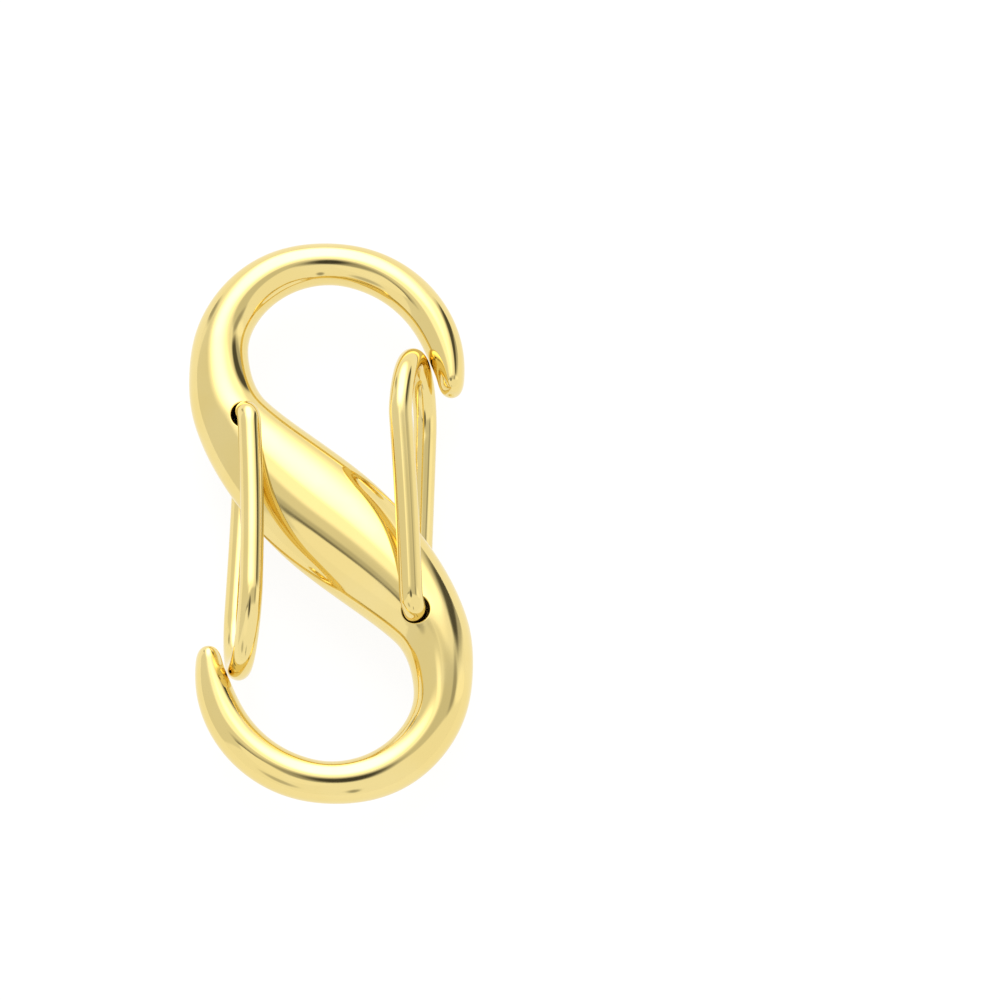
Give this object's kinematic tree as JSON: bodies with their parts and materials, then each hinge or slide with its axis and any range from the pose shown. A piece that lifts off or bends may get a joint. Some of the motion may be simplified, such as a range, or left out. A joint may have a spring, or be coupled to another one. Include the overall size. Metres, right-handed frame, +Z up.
{
  "type": "s-hook clasp",
  "caption": "S-shaped double-ended clasp with a thick middle band, and a spring wire gate that closes each loop.",
  "frame": {"origin": "under the middle of the hook, on the surface that the clasp lies on", "axes": "+Y along the hook from the lower loop to the upper one, +X to the right as seen from above, +Z up through the thickness"},
  "size_m": [0.0196, 0.0402, 0.0091],
  "materials": {
    "cast_hook": "cast metal, gold-coloured plating, polished like a mirror",
    "spring_wire": "round spring wire, gold-coloured plating, polished like a mirror"
  },
  "bodies": {
    "hook": {"hook_body": "cast_hook"},
    "upper_gate": {"upper_gate": "spring_wire"},
    "lower_gate": {"lower_gate": "spring_wire"}
  },
  "joints": [
    {"name": "upper_gate_swing", "type": "hinge", "parent": "hook", "child": "upper_gate", "pos_m": [0.00585, -0.007, 0.00417], "axis": [0, 0, 1], "range_deg": [0, 28], "stiffness_Nm_per_rad": 0.02, "springref_deg": -11.46},
    {"name": "lower_gate_swing", "type": "hinge", "parent": "hook", "child": "lower_gate", "pos_m": [-0.00585, 0.007, 0.00417], "axis": [0, 0, 1], "range_deg": [0, 28], "stiffness_Nm_per_rad": 0.02, "springref_deg": -11.46}
  ]
}
